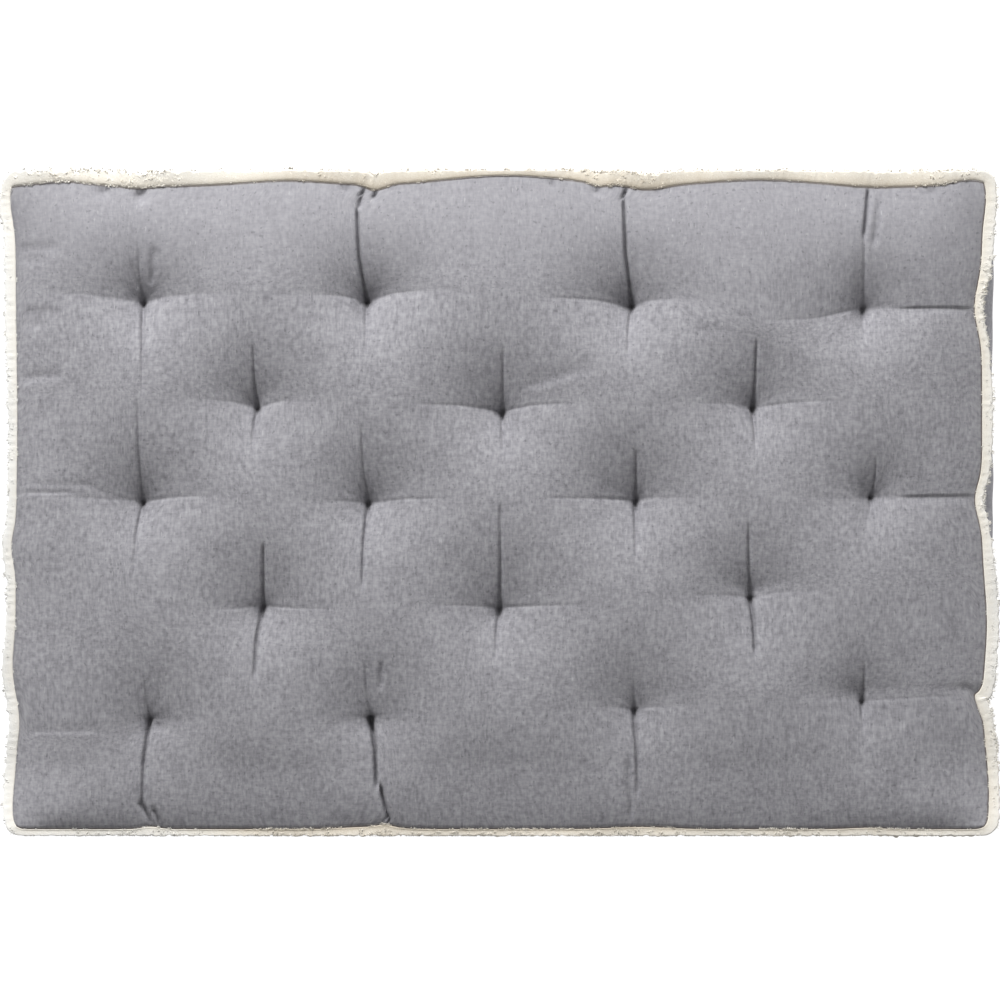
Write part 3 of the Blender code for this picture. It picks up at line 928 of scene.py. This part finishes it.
# -------- the finished cover
def add_weave_map(data, grid, lines_x, lines_y):
    """The cloth's own coordinates in metres: each wall carries on from the panel above it."""
    drop = (1.0 - WALL_SHARES) * WALL_CLOTH
    corner_vertex = np.empty(len(data.loops), int)
    data.loops.foreach_get("vertex_index", corner_vertex)
    sizes = np.empty(len(data.polygons), int)
    data.polygons.foreach_get("loop_total", sizes)
    face = np.repeat(np.arange(len(sizes)), sizes)
    corner = grid[corner_vertex]
    first = np.concatenate(([0], np.cumsum(sizes)[:-1]))
    lowest, highest = (edge.reduceat(corner, first, axis=0) for edge in (np.minimum, np.maximum))
    is_end, is_side = (lowest == highest)[face, :2].T
    u, v = lines_x[corner[:, 0]], lines_y[corner[:, 1]]
    down = drop[corner[:, 2]]
    u = np.where(is_end, u + np.sign(u) * down, u)
    v = np.where(is_side & ~is_end, v + np.sign(v) * down, v)
    layer = data.uv_layers.new(name="weave")
    layer.uv.foreach_set("vector", np.stack((u, v), axis=1).ravel())


def add_painted_shade(data, grid, top, slits):
    """Paints shade into the upper panel's cloth, as the attribute crease_shade: along the creases and below
    each tuft.
    """
    x, y = top[..., 0], top[..., 1] + HALO_BELOW
    away = np.min([np.hypot(x - tuft.x, y - tuft.y) for tuft in TUFTS], axis=0)
    unshaded = np.exp(-slits / SHADE_DEPTH) * (1.0 - HALO_SHADE * np.exp(-away / HALO_SPREAD))
    is_top = grid[:, 2] == len(WALL_SHARES) - 1
    painted_shade = np.where(is_top, 1.0 - unshaded[grid[:, 0], grid[:, 1]], 0.0)
    add_values(data, "crease_shade", painted_shade)


def thin_out(cushion, grid):
    """The underside is smooth, so it keeps only a small share of the fine lines' points."""
    middle = grid[:, :2].max(axis=0) / 2
    inside = (np.abs(grid[:, :2] - middle) < middle - 2).all(axis=1) & (grid[:, 2] == 0)
    under = cushion.vertex_groups.new(name="underside")
    under.add([int(n) for n in np.flatnonzero(inside)], 1.0, "REPLACE")
    fewer = cushion.modifiers.new("Fewer", "DECIMATE")
    fewer.ratio = 1.0 - (1.0 - UNDERSIDE_KEPT) * inside.sum() / len(cushion.data.polygons)
    fewer.vertex_group = under.name
    apply_modifier(cushion, fewer)
    cushion.vertex_groups.clear()


def make_cushion(material):
    """The finished cover, and its points by line, row and level."""
    lines_x = graded_lines(TUFT_COLUMNS + (SIDE_COLUMN,), HALF_LENGTH)
    lines_y = graded_lines(TUFT_ROWS, HALF_WIDTH)
    fine, slits = creased(cut_and_fill(), lines_x, lines_y)
    data, grid = box_grid((len(lines_x) - 1, len(lines_y) - 1, len(WALL_SHARES) - 1))
    data.vertices.foreach_set("co", fine[grid[:, 0], grid[:, 1], grid[:, 2]].ravel())
    add_weave_map(data, grid, lines_x, lines_y)
    # painted shade in the creases and round the tufts
    add_painted_shade(data, grid, fine[:, :, -1], slits)
    cushion = new_piece("cushion_cover", data, material)
    thin_out(cushion, grid)
    return cushion, fine


# -------- frayed trims
# What a trim stands on at each station: the seam, the way out from it, and the strip's own sizes there
Footing = namedtuple("Footing", "line out slope width tone lip lumps")
Lock = namedtuple("Lock", "at is_inward share wild lean swing length tone")


def picked(rows, at):
    """The same named rows at chosen places."""
    return type(rows)(*(values[at] for values in rows))


def seam_line(fine, level):
    """Points spaced evenly round one edge seam, anticlockwise, and the way out from each."""
    rim = np.concatenate(
        (fine[:-1, 0, level], fine[-1, :-1, level], fine[:0:-1, -1, level], fine[0, :0:-1, level])
    )
    closed = np.concatenate((rim, rim[:1]))
    run = np.concatenate(([0.0], np.cumsum(np.linalg.norm(np.diff(closed, axis=0), axis=1))))
    wanted = np.arange(TRIM_STATIONS) * run[-1] / TRIM_STATIONS
    line = np.stack([np.interp(wanted, run, closed[:, axis]) for axis in range(3)], axis=1)
    ahead = np.roll(line, -3, axis=0) - np.roll(line, 3, axis=0)
    out = np.stack((ahead[:, 1], -ahead[:, 0], np.zeros(len(line))), axis=1)
    return line, out / np.linalg.norm(out, axis=1, keepdims=True), run[-1]


def lean_at(points, leans):
    """The trim's slope in radians, width and tone, blended from the places where they are stated."""
    away = [np.hypot(points[:, 0] - lean.x, points[:, 1] - lean.y) for lean in leans]
    nears = (LEAN_BLEND + np.array(away)) ** -4
    nears /= nears.sum(axis=0)
    degrees, width, tone = (
        sum(getattr(lean, name) * near for lean, near in zip(leans, nears))
        for name in ("degrees", "width", "tone")
    )
    return np.radians(degrees), width, tone


def frayed(points, measure, least):
    """How loose, or how far inward, the fray is at each station."""
    total = np.full(len(points), least)
    for fray in FRAYS:
        away = np.hypot(points[:, 0] - fray.x, points[:, 1] - fray.y)
        total = np.maximum(total, getattr(fray, measure) * bell(away, fray.spread))
    return total


def strip_point(footing, share):
    """A point across the strip: it folds over the seam, lies outwards and curls down at its edge."""
    slope = footing.slope[:, None]
    along = footing.out * np.cos(slope) + UP * np.sin(slope)
    fold = footing.lip * bell(share - LIP_AT, LIP_SPREAD)
    fold_height = FOLD_HEIGHT * (FOLD_LEVEL + footing.out[:, 1])
    lift = fold_height * (1.0 - np.exp(-share / FOLD_SPREAD)) - CURL * footing.width * share**2
    lift = lift + footing.lumps * np.sin(share * math.pi)
    place = footing.line + along * (footing.width * share + TRIM_ROOT)[:, None]
    place = place - footing.out * fold[:, None] + UP * lift[:, None]
    place[:, 2] = np.maximum(place[:, 2], LEAST_HEIGHT)
    return place


def trim_piece(name, points, faces, material, tones):
    data = bpy.data.meshes.new(name)
    data.from_pydata(points.tolist(), [], faces)
    add_values(data, "fibre_tone", tones)
    return new_piece(name, data, material)


def make_trim(trim, fine, material):
    """A frayed strip in one edge seam: the woven strip, and the fibres combed out of its edge."""
    line, out, around = seam_line(fine, trim.level)
    loose = frayed(line, "loose", LEAST_LOOSE)
    inward = frayed(line, "inward", LEAST_INWARD)
    slope, width, tone = lean_at(line, trim.leans)
    if trim.level > 0:
        for side, edge in EDGE_REACH.items():
            reach = np.clip(edge - side * line[:, 1], *EDGE_WIDTHS)
            width = width + (reach - width) * np.clip(side * out[:, 1], 0.0, 1.0) ** 3
    slope = slope + SLOPE_WANDER * wander(SLOPE_WAVES, trim.seed)
    width = width * (1.0 + WIDTH_WANDER * wander(WIDTH_WAVES, trim.seed + 1))
    ragged = RAGGED + LOOSE_RAGGED * loose
    width = width * (1.0 + ragged * wander(RAGGED_WAVES, trim.seed + 2))
    lip = TRIM_LIP + LIP_RAGGED * inward * wander(LIP_WAVES, trim.seed + 4)
    lumps = LUMPS * wander(LUMP_WAVES, trim.seed + 5)
    footing = Footing(line, out, slope, width, tone, lip, lumps)
    strip = make_strip(trim.name + "_strip", footing, material)
    chance = np.random.default_rng(trim.seed + 3)
    locks = comb_locks(chance, trim.strands // LOCK_STRANDS, loose, inward)
    fringe = make_fringe(trim.name + "_fringe", chance, footing, locks, material)
    return strip, fringe, around


def make_strip(name, footing, material):
    shares = np.linspace(0.0, 1.0, TRIM_ROWS)
    points = np.stack([strip_point(footing, share) for share in shares], axis=1).reshape(-1, 3)
    here = np.arange(TRIM_STATIONS)[:, None] * TRIM_ROWS + np.arange(TRIM_ROWS - 1)[None, :]
    after = np.roll(here, -1, axis=0)
    faces = np.stack((here, after, after + 1, here + 1), axis=-1).reshape(-1, 4)
    # painted shade at the strip's seam, paling to painted light at its edge
    tones = (footing.tone[:, None] + STRIP_TONE + EDGE_TONE * shares).ravel()
    strip = trim_piece(name, points, faces.tolist(), material, tones)
    wall = strip.modifiers.new("Thickness", "SOLIDIFY")
    wall.thickness = TRIM_THICKNESS
    wall.offset = 0.0
    apply_modifier(strip, wall)
    return strip


def comb_locks(chance, count, loose, inward):
    """Locks of fibres: where each is rooted round and across the strip, its lean, length and tone."""
    at = chance.integers(0, TRIM_STATIONS, count)
    at = at[chance.random(count) < SMOOTH_SHARE + loose[at]]
    count = len(at)
    is_inward = chance.random(count) < inward[at]
    is_edge = chance.random(count) < 0.5
    near_edge = chance.uniform(*EDGE_ROOTS, count)
    share = np.where(is_edge, near_edge, chance.uniform(*OPEN_ROOTS, count))
    share = np.where(is_inward, chance.uniform(*INWARD_ROOTS, count), share)
    wild = LEAST_WILD + loose[at]
    lean = np.where(is_inward, INWARD_LEAN, OUTWARD_LEAN + LOOSE_LEAN * np.minimum(loose[at], 1.0))
    lean = lean + chance.normal(0.0, LOCK_LEAN, count) * wild
    swing = chance.normal(0.0, LOCK_SWING, count) * wild
    length = STRAND_LENGTH * chance.uniform(*LOCK_LENGTHS, count) * (1.0 - WILD_LENGTH + WILD_LENGTH * wild)
    length = np.where(is_inward, length * INWARD_LENGTH, length)
    return Lock(at, is_inward, share, wild, lean, swing, length, chance.uniform(0.0, 1.0, count))


def strand_points(root, way, across, bend, length, radius):
    """Points of the fibres: each has two flattened rings of three, and then a tip."""
    side = np.cross(way, across)
    points = np.empty((len(root), 7, 3))
    for ring, stage in enumerate((0.0, RING_AT)):
        middle = root + way * (length * stage) + bend * (length * stage**2)
        thick = (radius * (1.0 - TAPER * stage))[:, None]
        for corner in range(3):
            angle = (corner + 0.5) * 2.0 * math.pi / 3.0
            offset = side * (FLATNESS * math.cos(angle)) + across * math.sin(angle)
            points[:, ring * 3 + corner] = middle + offset * thick
    points[:, 6] = root + way * length + bend * length
    points[..., 2] = np.maximum(points[..., 2], LEAST_HEIGHT)
    return points


def strand_faces(strands):
    """Faces of the fibres: each is a tube of two rings of three points, and then a tip."""
    quads = [(c, 3 + c, 3 + (c + 1) % 3, (c + 1) % 3) for c in range(3)]
    ends = [(3 + (c + 1) % 3, 3 + c, 6) for c in range(3)] + [(0, 1, 2)]
    start = np.arange(strands)[:, None, None] * 7
    faces = (np.array(quads)[None] + start).reshape(-1, 4).tolist()
    return faces + (np.array(ends)[None] + start).reshape(-1, 3).tolist()


def make_fringe(name, chance, footing, locks, material):
    """Tapered fibres in locks: rooted along and across the strip, some lying in over the panel."""
    lock = picked(locks, np.repeat(np.arange(len(locks.at)), LOCK_STRANDS))
    strands = len(lock.at)
    held = picked(footing, (lock.at + chance.integers(-1, 2, strands)) % TRIM_STATIONS)
    ahead = np.stack((-held.out[:, 1], held.out[:, 0], np.zeros(strands)), axis=1)
    share = np.clip(lock.share + chance.uniform(-ROOT_SCATTER, ROOT_SCATTER, strands), 0.0, 0.99)
    root = strip_point(held, share) + ahead * chance.uniform(-ROOT_STEP, ROOT_STEP, strands)[:, None]
    lean = (held.slope + lock.lean + chance.normal(0.0, STRAND_LEAN, strands))[:, None]
    swing = (lock.swing + chance.normal(0.0, STRAND_SWING, strands))[:, None]
    outwards = np.where(lock.is_inward, -1.0, 1.0)[:, None]
    flat = held.out * outwards * np.cos(swing) + ahead * np.sin(swing)
    way = flat * np.cos(lean) + UP * np.sin(lean)
    length = lock.length * chance.uniform(*STRAND_LENGTHS, strands)
    room = np.maximum((root[:, 1] + FRONT_CUT) / np.maximum(-way[:, 1], HEADING_OUT), LEAST_STRAND)
    length = np.where(way[:, 1] < -HEADING_OUT, np.minimum(length, room), length)[:, None]
    droop = np.where(lock.is_inward, INWARD_DROOP, OUTWARD_DROOP)[:, None] * UP
    bend = chance.normal(0.0, STRAND_BEND, (strands, 3)) * lock.wild[:, None] - droop
    radius = STRAND_RADIUS * chance.uniform(*STRAND_RADII, strands)
    tone = STRAND_TONE * (LOCK_TONE * lock.tone + (1.0 - LOCK_TONE) * chance.random(strands))
    # painted shade at each fibre's root, paling to painted light at its tip
    tones = (ROOT_TONE + held.tone)[:, None] + np.repeat(PALER, STRAND_POINTS) + tone[:, None]
    points = strand_points(root, way, ahead * outwards, bend, length, radius)
    return trim_piece(name, points.reshape(-1, 3), strand_faces(strands), material, tones.ravel())


# -------- materials
def node(tree, kind, inputs, **settings):
    """A node with its inputs set to values or linked to sockets. Returns its outputs."""
    made = tree.nodes.new(kind)
    for name, value in settings.items():
        setattr(made, name, value)
    for name, value in inputs.items():
        if isinstance(value, bpy.types.NodeSocket):
            tree.links.new(value, made.inputs[name])
        else:
            made.inputs[name].default_value = value
    return made.outputs


def maths(tree, kind, *values):
    """One Math node on values, which are numbers or sockets."""
    return node(tree, "ShaderNodeMath", dict(enumerate(values)), operation=kind)[0]


def ramp(tree, value, low, high, start=0.0, end=1.0):
    """A value carried from one range to another, and held at its ends."""
    ranges = {"Value": value, "From Min": low, "From Max": high, "To Min": start, "To Max": end}
    return node(tree, "ShaderNodeMapRange", ranges)[0]


def mixed(tree, share, first, second):
    colours = {"Factor": share, "A": first, "B": second}
    return node(tree, "ShaderNodeMix", colours, data_type="RGBA")["Result"]


def cloth_noise(tree, place, grain):
    """Noise in blobs of a grain's size, from about -0.5 to 0.5."""
    scale = (1.0 / grain.across, 1.0 / grain.along, 1.0)
    start = (grain.seed, grain.seed * 1.7, grain.seed * 0.3)
    mapped = node(tree, "ShaderNodeMapping", {"Vector": place, "Scale": scale, "Location": start})
    noise = node(tree, "ShaderNodeTexNoise", {"Vector": mapped[0], "Scale": 1.0, "Detail": grain.detail})
    return maths(tree, "SUBTRACT", noise["Fac"], 0.5)


def weighted(tree, *terms):
    """The sum of (socket, weight) pairs."""
    total = 0.0
    for value, weight in terms:
        total = maths(tree, "MULTIPLY_ADD", value, weight, total)
    return total


def attribute(tree, name):
    return node(tree, "ShaderNodeAttribute", {}, attribute_name=name)["Fac"]


def new_material(name, finish):
    """A material, its tree and its shader, with the finish that is the same all over it."""
    material = bpy.data.materials.new(name)
    material.use_nodes = True
    shader = material.node_tree.nodes["Principled BSDF"]
    for socket, value in finish.items():
        shader.inputs[socket].default_value = value
    return material, material.node_tree, shader


def add_bump(tree, shader, height, strength, distance):
    inputs = {"Height": height, "Strength": strength, "Distance": distance}
    tree.links.new(node(tree, "ShaderNodeBump", inputs)[0], shader.inputs["Normal"])


def yarn_waves(tree, place):
    """Two sets of yarns at right angles, as heights from 0 to 1."""
    scale = math.pi / 10.0 / YARN_PITCH
    inputs = {"Vector": place, "Scale": scale, "Distortion": 0.6, "Detail Scale": 2.0}
    return [node(tree, "ShaderNodeTexWave", inputs, bands_direction=way)["Fac"] for way in ("X", "Y")]


def seam_closeness(tree, across, along):
    """1 on the edge seams, apart from those at -X, falling to 0 within two millimetres of them."""
    rows = maths(tree, "ABSOLUTE", along)
    long_side = maths(tree, "ABSOLUTE", maths(tree, "SUBTRACT", HALF_WIDTH, rows))
    end = maths(tree, "ABSOLUTE", maths(tree, "SUBTRACT", HALF_LENGTH, across))
    return ramp(tree, maths(tree, "MINIMUM", long_side, end), *SEAM_LINE)


def grey_heather():
    """Plain-woven cotton of mixed grey yarns: slubs along the warp, flecks, and a fine weave, with painted
    shade in the creases, round the tufts and along the seams, and painted light towards the wall at +X.
    """
    material, tree, shader = new_material("heather_grey_cotton", HEATHER_FINISH)
    place = node(tree, "ShaderNodeUVMap", {}, uv_map="weave")[0]
    warp, weft = yarn_waves(tree, place)
    mottle, slubs, picks, clouds, flecks, pale = (
        cloth_noise(tree, place, grain) for grain in (MOTTLE, SLUBS, PICKS, CLOUDS, FLECKS, PALE_SLUBS)
    )
    uneven = ((mottle, 0.85), (slubs, 0.60), (picks, 0.30), (clouds, 0.32), (warp, 0.05), (weft, 0.05))
    across, along = node(tree, "ShaderNodeSeparateXYZ", {"Vector": place})[:2]
    calm = ramp(tree, along, *CALM)
    # the yarns' mix, painted paler towards the wall at +X as light where the roll lies in shade
    yarn_mix_and_painted_light = ramp(tree, across, *YARN_MIX_AND_PAINTED_LIGHT)
    share = maths(tree, "MULTIPLY_ADD", weighted(tree, *uneven), calm, yarn_mix_and_painted_light)
    colour = mixed(tree, share, DARK_YARN, PALE_YARN)
    # painted shade in the creases and round the tufts, from the attribute crease_shade
    painted_crease_shade = attribute(tree, "crease_shade")
    for there, strength, other in (
        (ramp(tree, flecks, *FLECK_RANGE), FLECK_SHARE, FLECK_AND_PAINTED_SHADE),
        (ramp(tree, pale, *PALE_SLUB_RANGE), PALE_SLUB_SHARE, PALE_SLUB),
        # painted shade in the creases and round the tufts
        (painted_crease_shade, CREASE_PAINTED_SHADE, FLECK_AND_PAINTED_SHADE),
        # painted shade: the brown shadow line along the seams
        (seam_closeness(tree, across, along), SEAM_SHADE_SHARE, SEAM_SHADE),
    ):
        colour = mixed(tree, maths(tree, "MULTIPLY", there, strength), colour, other)
    tree.links.new(colour, shader.inputs["Base Color"])
    tree.links.new(maths(tree, "MULTIPLY_ADD", mottle, 0.10, 0.90), shader.inputs["Roughness"])
    height = weighted(tree, (warp, 0.5), (weft, 0.5), (slubs, 0.7), (mottle, 0.7))
    add_bump(tree, shader, height, 0.35, 0.0006)
    return material


def ecru_cotton():
    """Undyed cotton, brushed out: fibres across the strip and darker between the tufts of fibre. Its tone
    is painted dark as shade at the strip's seam and the fibres' roots and pale as light at the strip's edge
    and the fibres' tips, up to a painted glare.
    """
    material, tree, shader = new_material("ecru_frayed_cotton", ECRU_FINISH)
    place = node(tree, "ShaderNodeTexCoord", {})["Object"]
    fibres = cloth_noise(tree, place, FIBRES)
    patches = cloth_noise(tree, place, PATCHES)
    tone = attribute(tree, "fibre_tone")
    share = maths(tree, "ADD", weighted(tree, (tone, 0.75), (fibres, 0.9), (patches, 0.5)), 0.18)
    colour = mixed(tree, share, ECRU_DEEP, ECRU)
    # painted glare where the tone passes 1
    colour = mixed(tree, maths(tree, "SUBTRACT", share, 1.0), colour, PAINTED_GLARE)
    tree.links.new(colour, shader.inputs["Base Color"])
    add_bump(tree, shader, fibres, 0.5, 0.0008)
    return material


# -------- studio
def add_floor():
    bpy.ops.mesh.primitive_plane_add(size=FLOOR_SIZE, location=(0.0, 0.0, -FLOOR_DROP))
    floor = bpy.context.object
    floor.name = "floor"
    floor.data.materials.append(new_material("pale_floor", FLOOR_FINISH)[0])


def add_studio():
    world = bpy.data.worlds.new("studio")
    bpy.context.scene.world = world
    world.use_nodes = True
    sky = world.node_tree.nodes["Background"]
    sky.inputs["Color"].default_value = WHITE
    sky.inputs["Strength"].default_value = SKY_STRENGTH
    for lamp in LAMPS:
        bpy.ops.object.light_add(type="AREA", location=lamp.place)
        light = bpy.context.object
        light.name = lamp.name
        light.data.shape = "RECTANGLE"
        light.data.size = lamp.size
        light.data.size_y = lamp.size_y
        light.data.energy = lamp.watts
        towards = Vector(lamp.aim) - Vector(lamp.place)
        light.rotation_euler = towards.to_track_quat("-Z", "Y").to_euler()
    bpy.ops.object.camera_add(location=CAMERA_PLACE, rotation=(0.0, 0.0, 0.0))
    camera = bpy.context.object
    camera.data.lens = CAMERA_LENS
    camera.data.sensor_width = CAMERA_SENSOR
    bpy.context.scene.camera = camera
    bpy.context.scene.view_settings.view_transform = "Standard"


bpy.ops.object.select_all(action="DESELECT")
add_studio()
add_floor()
cushion, cover_points = make_cushion(grey_heather())
ecru = ecru_cotton()
for trim in TRIMS:
    strip, fringe, around = make_trim(trim, cover_points, ecru)
    for piece in (strip, fringe):
        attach(piece, "root")
    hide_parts(trim.name)
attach(cushion, "root")
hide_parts("cushion_body")
